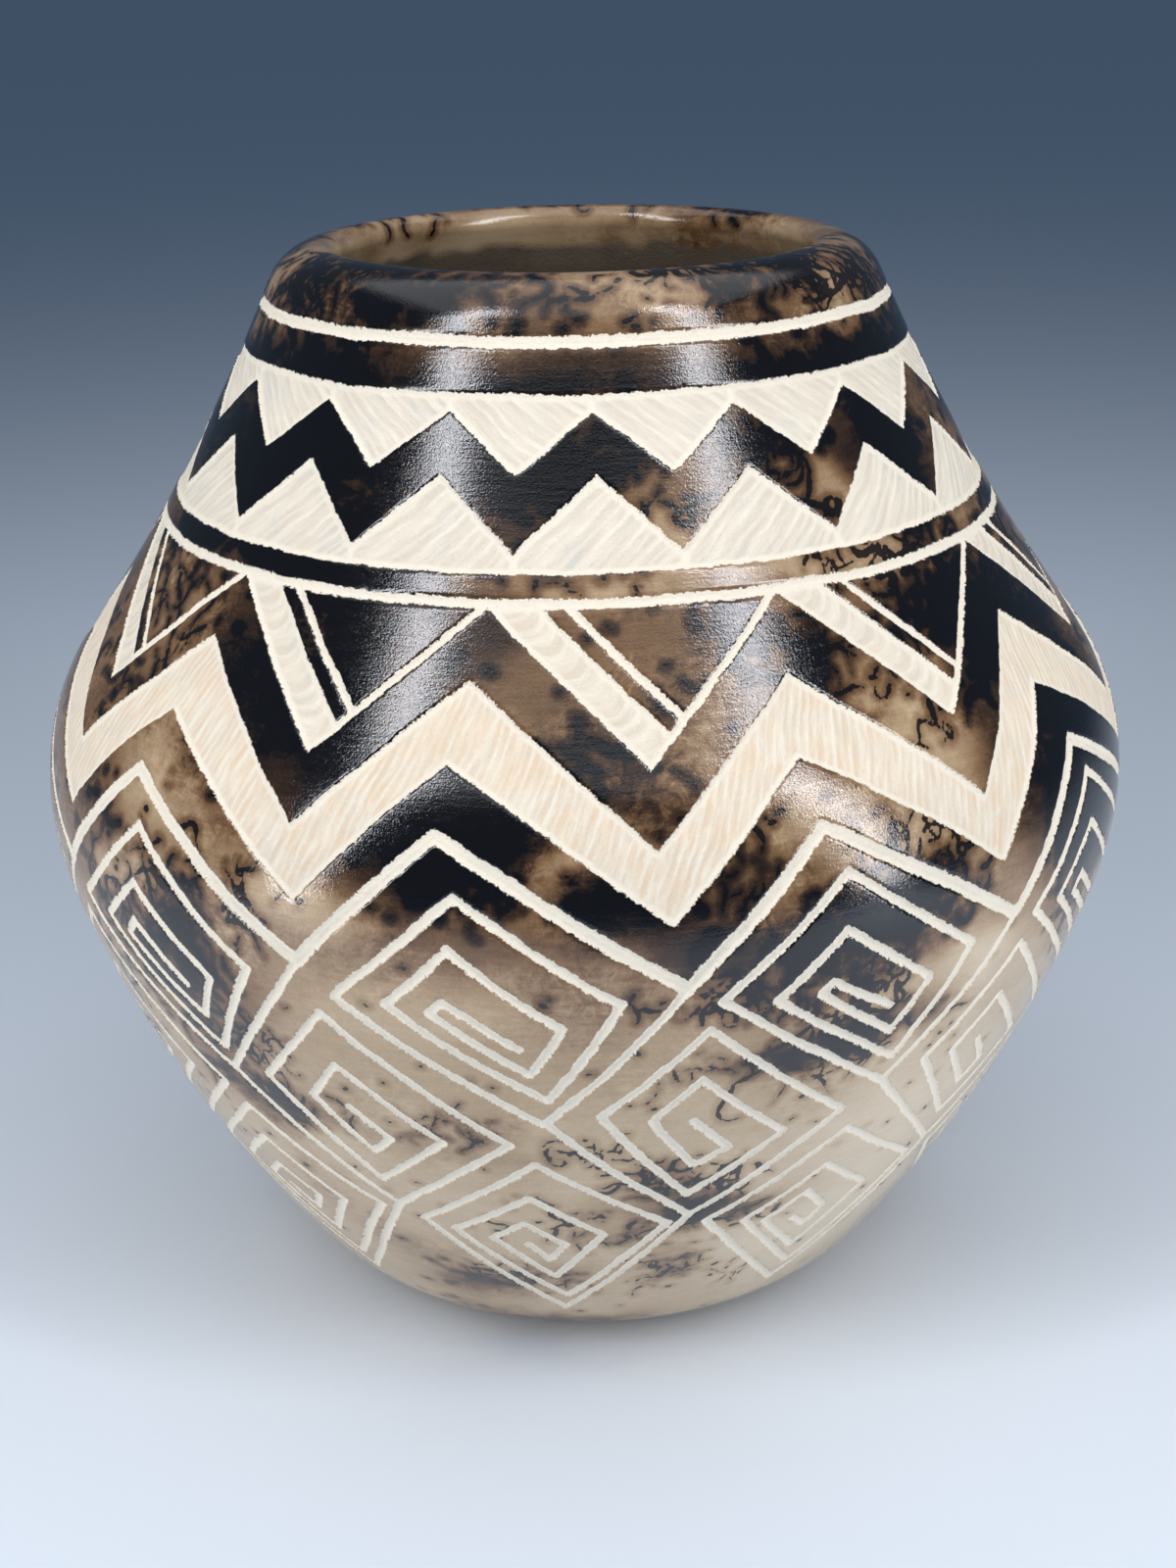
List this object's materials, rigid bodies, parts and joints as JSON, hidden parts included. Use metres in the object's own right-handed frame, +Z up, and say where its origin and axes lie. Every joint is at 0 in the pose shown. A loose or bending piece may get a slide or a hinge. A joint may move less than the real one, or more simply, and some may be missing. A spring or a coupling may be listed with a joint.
{
  "type": "pottery jar",
  "caption": "Round-shouldered coil-built jar with a rolled mouth and a polished smoked slip, scraped back in bands of sawteeth, zigzags and lozenges.",
  "frame": {"origin": "centre of the flat resting ring, on the surface that the jar stands on", "axes": "+Z up through the mouth, -Y towards the front"},
  "size_m": [0.1998, 0.1998, 0.1951],
  "materials": {
    "fired_clay": "matte, scraped",
    "smoked_slip": "stone-polished, smoked"
  },
  "bodies": {
    "root": {"base_dish": "fired_clay", "lower_coil_1": "fired_clay", "lower_coil_2": "fired_clay", "belly_coil": "fired_clay", "shoulder_coil_1": "fired_clay", "shoulder_coil_2": "fired_clay", "neck_coil": "fired_clay", "rim_coil": "fired_clay", "rim_slip": "smoked_slip", "neck_slip": "smoked_slip", "sawtooth_slip": "smoked_slip", "collar_slip": "smoked_slip", "pendant_slip": "smoked_slip", "upper_zigzag_slip": "smoked_slip", "lower_zigzag_slip": "smoked_slip", "lozenge_slip": "smoked_slip"}
  },
  "joints": []
}
